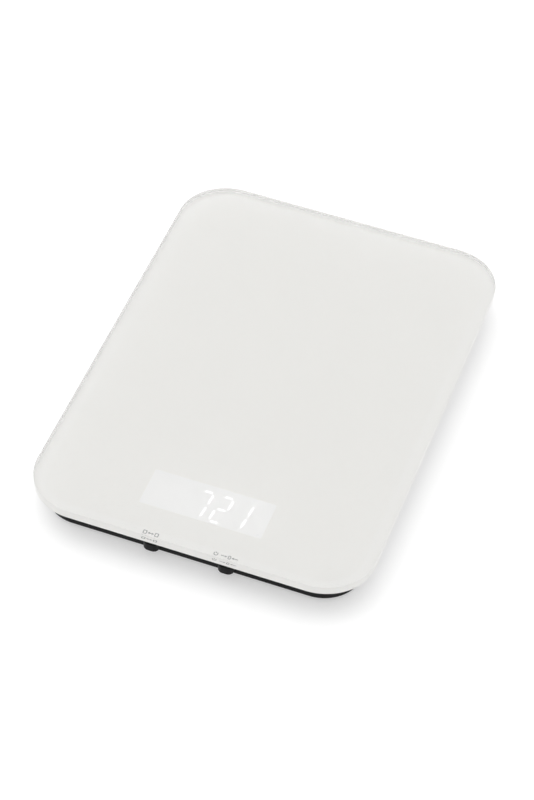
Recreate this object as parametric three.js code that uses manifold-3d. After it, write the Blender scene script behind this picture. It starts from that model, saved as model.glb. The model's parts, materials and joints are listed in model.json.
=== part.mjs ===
// A slim kitchen scale: a glass platform that rests on one bending-beam load cell in a thin plastic base.
// Millimetres. +Z is up, the edge with the display and the two buttons faces -Y,
// and the origin lies on the table, under the middle of the platform.
import * as THREE from "three";
import { mergeVertices } from "three/addons/utils/BufferGeometryUtils.js";
import Module from "manifold-3d";

const wasm = await Module();
wasm.setup();

// Glass platform
const glassWidth = 150;
const glassLength = 210;
const glassThickness = 4;
const glassCornerRadius = 22.8;
const glassEdgeChamfer = 0.6;

// Plastic base
const baseInset = 5.55;
const wallThickness = 2;
const floorThickness = 1.5;
const coverThickness = 1;
const coverRimWidth = 3;
const housingEdgeChamfer = 0.2;
const tongueThickness = 1;
const tongueDepth = 1.2;
const housingFitGap = 0.2;

// Rubber feet
const footHeight = 2.2;
const footRadius = 6;
const footEdge = 0.4;
const footSeatDepth = 0.4;
const footInset = 20.85;

// Case screws, and the bosses and posts that they pull together
const screwHeadRadius = 2.2;
const screwHeadHeight = 1.4;
const screwShankRadius = 1.1;
const screwGap = 0.2;
const bossRadius = 3.4;
const bossHeight = 2.4;
const postRadius = 2.6;
const cornerScrewInsetX = 10.85;
const cornerScrewInsetY = 12.85;
const middleScrewInset = 6.6;
const threadEngagement = 1.8;

// Load cell and the pieces that it is screwed to
const cellWidth = 12;
const cellLength = 50;
const cellSpacerThickness = 0.8;
const cellSpacerLength = 15;
const cellBoreRadius = 1.75;
const cellBoreOffset = 5.5;
const cellSlotHeight = 1.1;
const cellScrewFromEnd = 4;
const cellScrewPitch = 7;
const cellScrewHeadRadius = 2.8;
const cellScrewHeadHeight = 1.65;
const cellScrewRadius = 1.5;
const cellScrewLength = 5.4;
const sealantLength = 18;
const sealantThickness = 0.5;
const sideFlapThickness = 0.9;
const cellClearance = 2;

// Platform bracket and the pads that hold the glass to it
const platformTravel = 0.6;
const platformClearance = 0.3;
const rimClearance = 0.2;
const bracketThickness = 1.2;
const bracketArmWidth = 18;
const bracketWindowGap = 1.8;
const bracketSpineBorder = 8;
const bracketBorder = 1;
const padSize = 22;
const padThickness = 0.5;
const padInset = 25;
const padCornerRadius = 3;

// Display and circuit board
const displayWidth = 53;
const displayLength = 19.2;
const displayFromFront = 26.9;
const displayFaceThickness = 0.3;
const displayGap = 0.3;
const boardThickness = 0.8;
const boardLift = 0.6;
const boardSideMargin = 12;
const boardBackMargin = 7;
const boardFrontGap = 2.85;
const boardPostRadius = 2.2;
const boardPostInset = 3.6;
const boardScrewHeight = 1;
const chipSize = 7;
const chipThickness = 1;
const driverLength = 9;
const socketWidth = 6.4;
const socketDepth = 4;
const socketHeight = 2.4;
const socketX = 11.5;

// Push buttons and the switches behind them
const buttonSpacing = 32.8;
const buttonWidth = 7;
const buttonProtrusion = 3.35;
const buttonTravel = 0.5;
const buttonCornerRadius = 2.6;
const buttonFlangeOverhang = 1.8;
const buttonFlangeThickness = 1;
const buttonGap = 0.25;
const switchWidth = 6.2;
const switchDepth = 3.4;
const plungerWidth = 2.4;
const plungerHeight = 1.4;
const plungerLength = 2.1;
const plungerGap = 0.2;
const plungerInset = 0.4;

// Battery bay
const coinDiameter = 20;
const coinThickness = 3.2;
const coinEdge = 0.2;
const coinLipWidth = 0.8;
const coinLipDepth = 0.4;
const coinSideGap = 1.2;
const coinEndGap = 3;
const coinSeatGap = 0.1;
const leafSpace = 0.5;
const leafThickness = 0.2;
const leafWidth = 5;
const leafFlat = 3;
const leafSlope = 7;
const clipThickness = 0.25;
const clipLength = 8;
const bayWall = 1.6;
const bayRoof = 0.8;
const bayFromBack = 18;
const doorThickness = 1.4;
const doorGap = 0.3;
const doorTabWidth = 4;
const doorTabThickness = 0.8;
const doorTabReach = 1.4;
const doorTabInset = 2.6;
const doorRiserDepth = 1;
const doorSlitWidth = 0.8;
const doorTongueWidth = 12;
const doorTongueLength = 5;
const doorCatch = 0.2;
const nailRecessRadius = 5;
const nailRecessDepth = 0.9;

// Wires
const leadRadius = 0.4;
const leadPitch = 1;
const leadCount = 4;
const supplyLeadRadius = 0.55;
const supplyLeadGap = 1.35;
const supplyLeadEnd = 1.6;
const supplyLeadRise = 10;
const supplyLeadJoint = 3;
const supplyLeadShift = 1;
const wireSides = 8;
const leadSteps = 18;
const ribThickness = 1;
const ribHeight = 2;
const ribGap = 1.3;
const wireLift = 0.6;
const smallGap = 0.05;

// How far a cutting shape runs past the face that it opens, and a post or rib is rooted in the floor
const overcut = 0.3;
const rootDepth = floorThickness / 2;

// Straight steps around a small round piece, around a screw, and in a round corner of 1 mm radius
const roundSteps = 18;
const screwSteps = 12;
const cornerStepsPerRoot = 2.2;

// Heights, from the table up
const floorTop = footHeight + floorThickness;
const doorTop = footHeight + doorThickness;
const coinBottom = doorTop + coinSeatGap;
const bayCeiling = coinBottom + coinThickness + leafSpace;
const coverBottom = bayCeiling + bayRoof + housingFitGap;
const coverTop = coverBottom + coverThickness;
const bracketBottom = coverTop + platformTravel + platformClearance;
const bracketTop = bracketBottom + bracketThickness;
const glassBottom = bracketTop + padThickness;
const rimTop = glassBottom - platformTravel - rimClearance;
const cellBottom = floorTop + cellSpacerThickness;
const cellTop = bracketBottom - cellSpacerThickness;
const bossTop = floorTop + bossHeight;
const boardBottom = floorTop + boardLift;
const boardTop = boardBottom + boardThickness;
const buttonBottom = floorTop + buttonGap;
const buttonTop = coverBottom - buttonGap;
const switchTop = coverBottom - platformClearance;
const supplyLeadLevel = floorTop + supplyLeadRadius + wireLift;
const plungerMiddle = (boardTop + switchTop) / 2 - plungerInset;

// Sizes and places in plan
const baseWidth = glassWidth - 2 * baseInset;
const baseLength = glassLength - 2 * baseInset;
const baseCornerRadius = glassCornerRadius - baseInset;
const frontWallInside = -baseLength / 2 + wallThickness;
const displayY = -glassLength / 2 + displayFromFront;
const boardFront = frontWallInside + boardFrontGap;
const boardBack = displayY + displayLength / 2 + boardBackMargin;
const boardWidth = displayWidth + 2 * boardSideMargin;
const padX = glassWidth / 2 - padInset;
const padY = -(displayY + displayLength / 2) - bracketBorder - padSize / 2 - displayGap;
const bayInnerWidth = 2 * coinDiameter + 3 * coinSideGap;
const bayInnerLength = coinDiameter + 2 * coinEndGap;
const doorWidth = bayInnerWidth + bayWall - 2 * doorGap;
const doorLength = bayInnerLength + bayWall - 2 * doorGap;
const bayY = baseLength / 2 - bayFromBack - bayInnerLength / 2;
const doorHingeY = bayY - doorLength / 2;
const coinX = (coinDiameter + coinSideGap) / 2;
const gaugeExitX = cellWidth / 2 + sideFlapThickness + leadRadius;
const gaugeExitZ = cellTop - (leadCount / 2) * leadPitch;
const bracketWindowWidth = 2 * (gaugeExitX + leadRadius + bracketWindowGap);
const ribX = cellWidth / 2 + leadCount * leadPitch + 2 * leadRadius + ribGap + ribThickness / 2;
const supplyLeadX = ribX + ribThickness / 2 + supplyLeadRadius + supplyLeadGap;
const switchFront = boardFront - smallGap;
const flangeFront = frontWallInside + smallGap;
const plungerFront = flangeFront + buttonFlangeThickness + smallGap;

// Straight steps in a quarter of a round corner, fewer where the corner is tight
function cornerSteps(radius) {
  return Math.max(2, Math.round(cornerStepsPerRoot * Math.sqrt(radius)));
}

function finish(color, roughness, metalness = 0) {
  return new THREE.MeshStandardMaterial({ color, roughness, metalness });
}

const backPaintedGlass = finish(0xebeae6, 0.25);
const blackPlastic = finish(0x17181a, 0.5);
const blackRubber = finish(0x232324, 0.85);
const steel = finish(0xb4b6b8, 0.35, 1);
const aluminium = finish(0xc6c8ca, 0.4, 1);
const foam = finish(0xe9e7df, 0.9);
const silicone = finish(0xf2f1ee, 0.6);
const boardGreen = finish(0x1f5a36, 0.45);
const chipBlack = finish(0x1b1b1d, 0.55);
const displayWhite = finish(0xf1f1ef, 0.5);
const socketCream = finish(0xe8e2cf, 0.5);
const brass = finish(0xcaa75e, 0.35, 1);

// A rectangle with round corners, centred on the origin.
function outline(width, length, radius) {
  const x = width / 2 - radius;
  const y = length / 2 - radius;
  const quarter = Math.PI / 2;
  const shape = new THREE.Shape();
  shape.absarc(x, y, radius, 0, quarter);
  shape.absarc(-x, y, radius, quarter, 2 * quarter);
  shape.absarc(-x, -y, radius, 2 * quarter, 3 * quarter);
  shape.absarc(x, -y, radius, 3 * quarter, 4 * quarter);
  shape.closePath();
  return shape;
}

// A plate with round corners that stands on z = 0.
function plate(width, length, thickness, radius) {
  return new THREE.ExtrudeGeometry(outline(width, length, radius), {
    depth: thickness,
    bevelEnabled: false,
    curveSegments: cornerSteps(radius),
  });
}

// The same plate with its upper and lower edges chamfered.
function softPlate(width, length, thickness, radius, edge) {
  const geometry = new THREE.ExtrudeGeometry(outline(width, length, radius), {
    depth: thickness - 2 * edge,
    bevelThickness: edge,
    bevelSize: edge,
    bevelOffset: -edge,
    bevelSegments: 1,
    curveSegments: cornerSteps(radius),
  });
  return geometry.translate(0, 0, edge);
}

// A box that stands on z = 0.
function block(width, length, height) {
  return new THREE.BoxGeometry(width, length, height).translate(0, 0, height / 2);
}

// An upright cylinder that stands on z = 0.
function disc(radius, height, steps = roundSteps) {
  return new THREE.CylinderGeometry(radius, radius, height, steps)
    .rotateX(Math.PI / 2)
    .translate(0, 0, height / 2);
}

// A solid turned about z, from points [radius, height] that start and end on the axis.
function turned(points, steps) {
  const profile = points.map(([radius, height]) => new THREE.Vector2(radius, height));
  return new THREE.LatheGeometry(profile, steps).rotateX(Math.PI / 2);
}

function solidOf(geometry) {
  const bare = geometry.clone();
  bare.deleteAttribute("normal");
  bare.deleteAttribute("uv");
  const merged = mergeVertices(bare);
  return new wasm.Manifold(
    new wasm.Mesh({
      numProp: 3,
      vertProperties: merged.attributes.position.array,
      triVerts: new Uint32Array(merged.index.array),
    }),
  );
}

// The body with the added geometries joined to it and the removed ones cut out of the result.
function shaped(body, added, removed) {
  const joined = added.reduce((solid, geometry) => solid.add(solidOf(geometry)), solidOf(body));
  const cut = removed.reduce((solid, geometry) => solid.subtract(solidOf(geometry)), joined);
  const mesh = cut.getMesh();
  const geometry = new THREE.BufferGeometry();
  geometry.setAttribute("position", new THREE.BufferAttribute(mesh.vertProperties, 3));
  geometry.setIndex(new THREE.BufferAttribute(mesh.triVerts, 1));
  geometry.computeVertexNormals();
  return geometry;
}

function piece(name, geometry, material, x = 0, y = 0, z = 0) {
  const mesh = new THREE.Mesh(geometry, material);
  mesh.name = name;
  mesh.position.set(x, y, z);
  return mesh;
}

function group(...members) {
  const holder = new THREE.Group();
  holder.add(...members);
  return holder;
}

// The four places at plus and minus x and y, with their plain names.
function corners(x, y) {
  return [
    ["front_left", -x, -y],
    ["front_right", x, -y],
    ["back_left", -x, y],
    ["back_right", x, y],
  ];
}

function caseScrewPlaces() {
  const middleX = baseWidth / 2 - middleScrewInset;
  return [
    ...corners(baseWidth / 2 - cornerScrewInsetX, baseLength / 2 - cornerScrewInsetY),
    ["middle_left", -middleX, 0],
    ["middle_right", middleX, 0],
  ];
}

// Screw places along the load cell, measured from its middle.
function cellScrewPlaces() {
  const outer = cellLength / 2 - cellScrewFromEnd;
  return [outer, outer - cellScrewPitch];
}

// A countersunk screw with its flat head on top, at z = 0. The gap widens it into its clearance hole.
function countersunk(gap = 0) {
  const depth = -cellScrewHeadHeight - gap;
  return turned(
    [
      [0, -cellScrewLength - gap],
      [cellScrewRadius + gap, -cellScrewLength - gap],
      [cellScrewRadius + gap, depth],
      [cellScrewHeadRadius + gap, gap],
      [0, gap],
    ],
    screwSteps,
  );
}

// A pan-head screw that points up, with the underside of its head at z = 0.
function panHead(shankLength) {
  return turned(
    [
      [0, -screwHeadHeight],
      [screwHeadRadius, -screwHeadHeight],
      [screwHeadRadius, 0],
      [screwShankRadius, 0],
      [screwShankRadius, shankLength],
      [0, shankLength],
    ],
    screwSteps,
  );
}

// A round wire along a smooth curve through the points.
function wire(points, radius, steps) {
  const section = new THREE.Shape();
  for (let side = 0; side < wireSides; side += 1) {
    const angle = (side * 2 * Math.PI) / wireSides;
    const x = radius * Math.cos(angle);
    const y = radius * Math.sin(angle);
    if (side === 0) section.moveTo(x, y);
    else section.lineTo(x, y);
  }
  section.closePath();
  const path = new THREE.CatmullRomCurve3(points.map((point) => new THREE.Vector3(...point)));
  return new THREE.ExtrudeGeometry(section, { steps, extrudePath: path, bevelEnabled: false });
}

// Platform: everything that goes down together when something is weighed.

function glassPlatter() {
  const geometry = softPlate(
    glassWidth,
    glassLength,
    glassThickness,
    glassCornerRadius,
    glassEdgeChamfer,
  );
  return piece("glass_platter", geometry, backPaintedGlass, 0, 0, glassBottom);
}

function adhesivePads() {
  return corners(padX, padY).map(([place, x, y]) =>
    piece(
      `adhesive_pad_${place}`,
      plate(padSize, padSize, padThickness, padCornerRadius),
      foam,
      x,
      y,
      bracketTop,
    ),
  );
}

// The screw heads sit in the bracket and the spacer, over the free end of the load cell.
function platterScrewHoles() {
  return cellScrewPlaces().map((y) => countersunk(screwGap).translate(0, -y, bracketTop));
}

// A flat steel cross with a square end under each pad, open over the strain gauges.
function platterBracket() {
  const seat = padSize + 2 * bracketBorder;
  const armLength = 2 * Math.hypot(padX, padY);
  const armAngle = Math.atan2(padX, padY);
  const arms = [-1, 1].map((side) =>
    plate(bracketArmWidth, armLength, bracketThickness, bracketBorder)
      .rotateZ(side * armAngle)
      .translate(0, 0, bracketBottom),
  );
  const seats = corners(padX, padY).map(([, x, y]) =>
    plate(seat, seat, bracketThickness, padCornerRadius + bracketBorder).translate(
      x,
      y,
      bracketBottom,
    ),
  );
  const spine = plate(
    bracketWindowWidth + 2 * bracketSpineBorder,
    cellLength + 2 * cellClearance,
    bracketThickness,
    padCornerRadius,
  ).translate(0, 0, bracketBottom);
  const window = plate(
    bracketWindowWidth,
    sealantLength + 2 * platformClearance,
    2 * bracketThickness,
    cellClearance / 2,
  ).translate(0, 0, bracketBottom - bracketThickness / 2);
  return piece(
    "platter_bracket",
    shaped(spine, [...arms, ...seats], [window, ...platterScrewHoles()]),
    steel,
  );
}

function platterSpacer() {
  const body = block(cellWidth, cellSpacerLength, cellSpacerThickness).translate(
    0,
    -(cellLength - cellSpacerLength) / 2,
    cellTop,
  );
  return piece("platter_spacer", shaped(body, [], platterScrewHoles()), steel);
}

function platterScrews() {
  return cellScrewPlaces().map((y, index) =>
    piece(`platter_screw_${index + 1}`, countersunk(), steel, 0, -y, bracketTop - smallGap),
  );
}

// Housing

function buttonPlaces() {
  return [
    ["unit", -buttonSpacing / 2],
    ["tare", buttonSpacing / 2],
  ];
}

function boardPostPlaces() {
  const x = boardWidth / 2 - boardPostInset;
  return [-x, x].flatMap((side) => [
    [side, boardFront + boardPostInset],
    [side, boardBack - boardPostInset],
  ]);
}

function boardScrewPlaces() {
  return boardPostPlaces().filter(([, y]) => y > displayY);
}

// Upside-down countersinks through the floor and the spacer, under the fixed end of the load cell.
function cellScrewHoles() {
  return cellScrewPlaces().map((y) =>
    countersunk(screwGap)
      .rotateX(Math.PI)
      .translate(0, y, footHeight + smallGap),
  );
}

// A round-cornered tub wall around the coin cells, with slots for the tabs of the door.
function batteryBay() {
  return plate(
    bayInnerWidth + 2 * bayWall,
    bayInnerLength + 2 * bayWall,
    bayCeiling + bayRoof - floorTop + rootDepth,
    bayWall,
  ).translate(0, bayY, floorTop - rootDepth);
}

function doorTabPlaces() {
  const x = bayInnerWidth / 2 - doorTabInset;
  return [-x, x];
}

function batteryBayCuts() {
  const inside = block(bayInnerWidth, bayInnerLength, bayCeiling - footHeight);
  const mouth = block(doorWidth + 2 * doorGap, doorLength + 2 * doorGap, floorThickness + overcut);
  const tabSwing = Math.hypot(doorTabReach + 2 * doorGap, doorThickness + doorTabThickness + doorGap);
  const slots = doorTabPlaces().map((x) =>
    block(doorTabWidth + 2 * doorGap, 2 * bayWall + 2 * doorTabReach, tabSwing + doorGap).translate(
      x,
      doorHingeY - doorTabReach / 2,
      floorTop,
    ),
  );
  const nailRecess = disc(nailRecessRadius, nailRecessDepth + overcut).translate(
    0,
    bayY + doorLength / 2 + doorGap,
    footHeight - overcut,
  );
  const leadHole = supplyLeadRadius + screwGap;
  const leadHoles = [-supplyLeadX, supplyLeadX].map((x) =>
    new THREE.CylinderGeometry(leadHole, leadHole, 2 * bayWall, screwSteps).translate(
      x,
      bayY - bayInnerLength / 2 - bayWall / 2,
      supplyLeadLevel,
    ),
  );
  return [
    inside.translate(0, bayY, footHeight),
    mouth.translate(0, bayY, footHeight - overcut),
    nailRecess,
    ...leadHoles,
    ...slots,
  ];
}

function lowerHousing() {
  const height = coverBottom - footHeight;
  const trim = coverThickness + coverRimWidth;
  const shell = softPlate(
    baseWidth,
    baseLength,
    height + trim,
    baseCornerRadius,
    housingEdgeChamfer,
  ).translate(0, 0, footHeight);
  const hollow = plate(
    baseWidth - 2 * wallThickness,
    baseLength - 2 * wallThickness,
    height,
    baseCornerRadius - wallThickness,
  ).translate(0, 0, floorTop);
  const aboveParting = block(glassWidth, glassLength, 2 * trim).translate(0, 0, coverBottom);
  const tub = shaped(shell, [], [hollow, aboveParting]);

  const bosses = caseScrewPlaces().map(([, x, y]) =>
    disc(bossRadius, bossTop - footHeight - screwGap, screwSteps).translate(
      x,
      y,
      footHeight + screwGap,
    ),
  );
  const boardPosts = boardPostPlaces().map(([x, y]) =>
    disc(boardPostRadius, boardLift + rootDepth, screwSteps).translate(x, y, floorTop - rootDepth),
  );
  const ribLength = cellLength + 2 * cellClearance;
  const ribs = [-ribX, ribX].map((x) =>
    block(ribThickness, ribLength, ribHeight + rootDepth).translate(x, 0, floorTop - rootDepth),
  );

  const footSeats = footPlaces().map(([, x, y]) =>
    disc(footRadius + housingFitGap, 2 * footSeatDepth).translate(x, y, footHeight - footSeatDepth),
  );
  const headPockets = caseScrewPlaces().map(([, x, y]) =>
    disc(screwHeadRadius + screwGap, screwPocketDepth() + overcut, screwSteps).translate(
      x,
      y,
      footHeight - overcut,
    ),
  );
  const shankHoles = caseScrewPlaces().map(([, x, y]) =>
    disc(screwShankRadius + screwGap, bossTop, screwSteps).translate(x, y, footHeight),
  );
  const boardScrewHoles = boardScrewPlaces().map(([x, y]) =>
    disc(screwShankRadius + screwGap, boardLift + boardScrewHeight, screwSteps).translate(
      x,
      y,
      boardBottom - boardScrewHeight - screwGap,
    ),
  );
  const buttonOpenings = buttonPlaces().map(([, x]) =>
    block(
      buttonWidth + 2 * buttonGap,
      3 * wallThickness,
      buttonTop - buttonBottom + 2 * buttonGap,
    ).translate(x, frontWallInside - wallThickness / 2, buttonBottom - buttonGap),
  );
  const geometry = shaped(
    tub,
    [...bosses, ...boardPosts, ...ribs, batteryBay()],
    [
      ...footSeats,
      ...headPockets,
      ...shankHoles,
      ...boardScrewHoles,
      ...buttonOpenings,
      ...cellScrewHoles(),
      ...batteryBayCuts(),
    ],
  );
  return piece("lower_housing", geometry, blackPlastic);
}

// How far the underside of a case screw's head sits above the bottom of the base.
function screwPocketDepth() {
  return floorThickness + screwHeadHeight - screwGap;
}

function upperCover() {
  const rimHeight = rimTop - coverBottom;
  const shell = softPlate(
    baseWidth,
    baseLength,
    2 * rimHeight,
    baseCornerRadius,
    housingEdgeChamfer,
  ).translate(0, 0, rimTop - 2 * rimHeight);
  const tray = plate(
    baseWidth - 2 * coverRimWidth,
    baseLength - 2 * coverRimWidth,
    rimHeight,
    baseCornerRadius - coverRimWidth,
  ).translate(0, 0, coverTop);
  const belowParting = block(glassWidth, glassLength, 2 * rimHeight).translate(
    0,
    0,
    coverBottom - 2 * rimHeight,
  );
  const lid = shaped(shell, [], [tray, belowParting]);

  const tongueInset = wallThickness + housingFitGap;
  const tongueHeight = tongueDepth + coverThickness / 2;
  const tongueOuter = plate(
    baseWidth - 2 * tongueInset,
    baseLength - 2 * tongueInset,
    tongueHeight,
    baseCornerRadius - tongueInset,
  );
  const tongueInner = plate(
    baseWidth - 2 * (tongueInset + tongueThickness),
    baseLength - 2 * (tongueInset + tongueThickness),
    tongueHeight + 2 * overcut,
    baseCornerRadius - tongueInset - tongueThickness,
  ).translate(0, 0, -overcut);
  const flangeWidth = buttonWidth + 2 * buttonFlangeOverhang;
  const buttonNotches = buttonPlaces().map(([, x]) =>
    block(
      flangeWidth + 4 * buttonGap,
      2 * boardFrontGap + 2 * wallThickness,
      tongueHeight + 2 * overcut,
    ).translate(x, frontWallInside, -overcut),
  );
  const tongue = shaped(tongueOuter, [], [tongueInner, ...buttonNotches]).translate(
    0,
    0,
    coverBottom - tongueDepth,
  );
  const postBottom = bossTop + housingFitGap;
  const posts = caseScrewPlaces().map(([, x, y]) =>
    disc(postRadius, coverTop - coverThickness / 2 - postBottom, screwSteps).translate(
      x,
      y,
      postBottom,
    ),
  );
  const pilotHoles = caseScrewPlaces().map(([, x, y]) =>
    disc(screwShankRadius + screwGap, coverBottom - postBottom + screwGap, screwSteps).translate(
      x,
      y,
      postBottom - screwGap,
    ),
  );
  const cellOpening = plate(
    cellWidth + 2 * cellClearance + 2 * leadRadius,
    cellLength + 2 * cellClearance,
    2 * coverThickness,
    cellClearance,
  ).translate(0, 0, coverBottom - coverThickness / 2);
  const displayOpening = block(
    displayWidth + 2 * displayGap,
    displayLength + 2 * displayGap,
    2 * coverThickness,
  ).translate(0, displayY, coverBottom - coverThickness / 2);
  const geometry = shaped(
    lid,
    [tongue, ...posts],
    [...pilotHoles, cellOpening, displayOpening],
  );
  return piece("upper_cover", geometry, blackPlastic);
}

function caseScrews() {
  const seat = footHeight + screwPocketDepth() - smallGap;
  const shankLength = bossTop + threadEngagement - seat;
  return caseScrewPlaces().map(([place, x, y]) =>
    piece(`case_screw_${place}`, panHead(shankLength), steel, x, y, seat),
  );
}

function footPlaces() {
  return corners(baseWidth / 2 - footInset, baseLength / 2 - footInset);
}

function feet() {
  const profile = [
    [0, 0],
    [footRadius - footEdge, 0],
    [footRadius, footEdge],
    [footRadius, footHeight + footSeatDepth],
    [0, footHeight + footSeatDepth],
  ];
  return footPlaces().map(([place, x, y]) =>
    piece(`foot_${place}`, turned(profile, roundSteps), blackRubber, x, y, 0),
  );
}

// Weighing

// An aluminium bar, thinned by two bores and the slot between them, so that it bends as a parallelogram.
function loadCell() {
  const body = block(cellWidth, cellLength, cellTop - cellBottom).translate(0, 0, cellBottom);
  const middle = (cellTop + cellBottom) / 2;
  const bores = [-cellBoreOffset, cellBoreOffset].map((y) =>
    new THREE.CylinderGeometry(cellBoreRadius, cellBoreRadius, 2 * cellWidth, roundSteps)
      .rotateZ(Math.PI / 2)
      .translate(0, y, middle),
  );
  const slot = block(2 * cellWidth, 2 * cellBoreOffset, cellSlotHeight).translate(
    0,
    0,
    middle - cellSlotHeight / 2,
  );
  const cuts = [...bores, slot, ...cellScrewHoles(), ...platterScrewHoles()];
  return piece("load_cell", shaped(body, [], cuts), aluminium);
}

// A soft pad over the gauges on top of the cell, with a flap down the side that the leads leave from.
function gaugeSealant() {
  const side = cellWidth / 2;
  const inner = -cellClearance;
  const outer = side + sideFlapThickness;
  const foot = cellTop - leadCount * leadPitch;
  const section = new THREE.Shape();
  section.moveTo(inner, cellTop);
  section.lineTo(side, cellTop);
  section.lineTo(side, foot);
  section.lineTo(outer, foot);
  section.lineTo(outer, cellTop + sealantThickness);
  section.lineTo(inner, cellTop + sealantThickness);
  section.closePath();
  const pad = new THREE.ExtrudeGeometry(section, { depth: sealantLength, bevelEnabled: false });
  return piece("gauge_sealant", pad.rotateX(Math.PI / 2), silicone, 0, sealantLength / 2, 0);
}

function cellBaseSpacer() {
  const body = block(cellWidth, cellSpacerLength, cellSpacerThickness).translate(
    0,
    (cellLength - cellSpacerLength) / 2,
    floorTop,
  );
  return piece("cell_base_spacer", shaped(body, [], cellScrewHoles()), steel);
}

function cellScrews() {
  return cellScrewPlaces().map((y, index) => {
    const screw = piece(`cell_screw_${index + 1}`, countersunk(), steel, 0, y, footHeight);
    screw.position.z += 2 * smallGap;
    screw.rotation.x = Math.PI;
    return screw;
  });
}

// Four fine leads from the gauges, down the side of the cell, along the floor and into the socket.
function gaugeLeads() {
  const names = ["red", "black", "white", "green"];
  const colours = [0xb02a26, 0x1c1c1e, 0xe8e8e4, 0x2c7a45];
  const socketBack = boardBack - leadCount * leadPitch + socketDepth;
  return names.map((name, index) => {
    const lane = cellWidth / 2 + (index + 1) * leadPitch + leadRadius;
    const startY = (index - (leadCount - 1) / 2) * 2 * leadPitch;
    const entryX = socketX + (index - (leadCount - 1) / 2) * leadPitch;
    const nearFloor = floorTop + leadRadius + wireLift;
    const route = [
      [gaugeExitX, startY, gaugeExitZ],
      [(gaugeExitX + 2 * lane) / 3, startY, (gaugeExitZ + nearFloor) / 2],
      [lane, startY - 2 * leadPitch, nearFloor],
      [lane, -cellLength / 2, nearFloor],
      [(lane + entryX) / 2, (boardBack - cellLength / 2) / 2, nearFloor + leadRadius],
      [entryX, boardBack + 3 * leadPitch, boardTop + socketHeight / 2],
      [entryX, socketBack + housingFitGap, boardTop + socketHeight / 2],
    ];
    return piece(`gauge_lead_${name}`, wire(route, leadRadius, leadSteps), finish(colours[index], 0.6));
  });
}

// Display, circuit board and switches

function circuitBoard() {
  const length = boardBack - boardFront;
  const board = plate(boardWidth, length, boardThickness, boardThickness).translate(
    0,
    (boardFront + boardBack) / 2,
    boardBottom,
  );
  const holes = boardScrewPlaces().map(([x, y]) =>
    disc(screwShankRadius + screwGap, 2 * boardThickness, screwSteps).translate(
      x,
      y,
      boardBottom - boardThickness / 2,
    ),
  );
  return piece("circuit_board", shaped(board, [], holes), boardGreen);
}

function boardScrews() {
  return boardScrewPlaces().map(([x, y], index) => {
    const screw = panHead(boardThickness + boardScrewHeight).rotateX(Math.PI);
    return piece(`board_screw_${index + 1}`, screw, steel, x, y, boardTop + smallGap);
  });
}

function boardChips() {
  const x = (displayWidth + boardSideMargin) / 2;
  return [
    piece("controller_chip", block(chipSize, chipSize, chipThickness), chipBlack, x, displayY, boardTop),
    piece("display_driver", block(chipSize, driverLength, chipThickness), chipBlack, -x, displayY, boardTop),
    piece(
      "lead_socket",
      block(socketWidth, socketDepth, socketHeight),
      socketCream,
      socketX,
      boardBack - leadCount * leadPitch + socketDepth / 2,
      boardTop,
    ),
  ];
}

function display() {
  const blockHeight = rimTop - displayFaceThickness - boardTop;
  return [
    piece(
      "display_block",
      block(displayWidth, displayLength, blockHeight),
      displayWhite,
      0,
      displayY,
      boardTop,
    ),
    piece(
      "display_face",
      block(displayWidth, displayLength, displayFaceThickness),
      displayWhite,
      0,
      displayY,
      boardTop + blockHeight,
    ),
  ];
}

function sideSwitch(name, x) {
  const body = block(switchWidth, switchDepth, switchTop - boardTop);
  const height = plungerHeight + 2 * plungerGap;
  const depth = plungerFront + plungerLength - switchFront + buttonTravel + plungerGap;
  const socket = block(plungerWidth + 2 * plungerGap, 2 * depth, height).translate(
    0,
    -switchDepth / 2,
    plungerMiddle - boardTop - height / 2,
  );
  return piece(
    `${name}_switch`,
    shaped(body, [], [socket]),
    chipBlack,
    x,
    switchFront + switchDepth / 2,
    boardTop,
  );
}

function switchPlunger(name, x) {
  return piece(
    `${name}_switch_plunger`,
    block(plungerWidth, plungerLength, plungerHeight),
    socketCream,
    x,
    plungerFront + plungerLength / 2,
    plungerMiddle - plungerHeight / 2,
  );
}

// A cap with rounded front corners and a flange that stops it against the inside of the front wall.
function buttonCap(name, x) {
  const front = -baseLength / 2 - buttonProtrusion;
  const back = flangeFront + buttonFlangeThickness;
  const half = buttonWidth / 2;
  const flangeHalf = half + buttonFlangeOverhang;
  const radius = buttonCornerRadius;
  const shape = new THREE.Shape();
  shape.moveTo(flangeHalf, flangeFront);
  shape.lineTo(flangeHalf, back);
  shape.lineTo(-flangeHalf, back);
  shape.lineTo(-flangeHalf, flangeFront);
  shape.lineTo(-half, flangeFront);
  shape.absarc(-half + radius, front + radius, radius, Math.PI, 1.5 * Math.PI);
  shape.absarc(half - radius, front + radius, radius, 1.5 * Math.PI, 2 * Math.PI);
  shape.lineTo(half, flangeFront);
  shape.closePath();
  const geometry = new THREE.ExtrudeGeometry(shape, {
    depth: buttonTop - buttonBottom,
    bevelEnabled: false,
    curveSegments: cornerSteps(radius),
  });
  return piece(`${name}_button`, geometry, blackPlastic, x, 0, buttonBottom);
}

// Power

function coinCells() {
  const radius = coinDiameter / 2;
  const profile = [
    [0, 0],
    [radius - coinEdge, 0],
    [radius, coinEdge],
    [radius, coinThickness - coinLipDepth],
    [radius - coinLipWidth, coinThickness - coinLipDepth],
    [radius - coinLipWidth, coinThickness],
    [0, coinThickness],
  ];
  return [-coinX, coinX].map((x, index) =>
    piece(`coin_cell_${index + 1}`, turned(profile, roundSteps), steel, x, bayY, coinBottom),
  );
}

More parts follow.
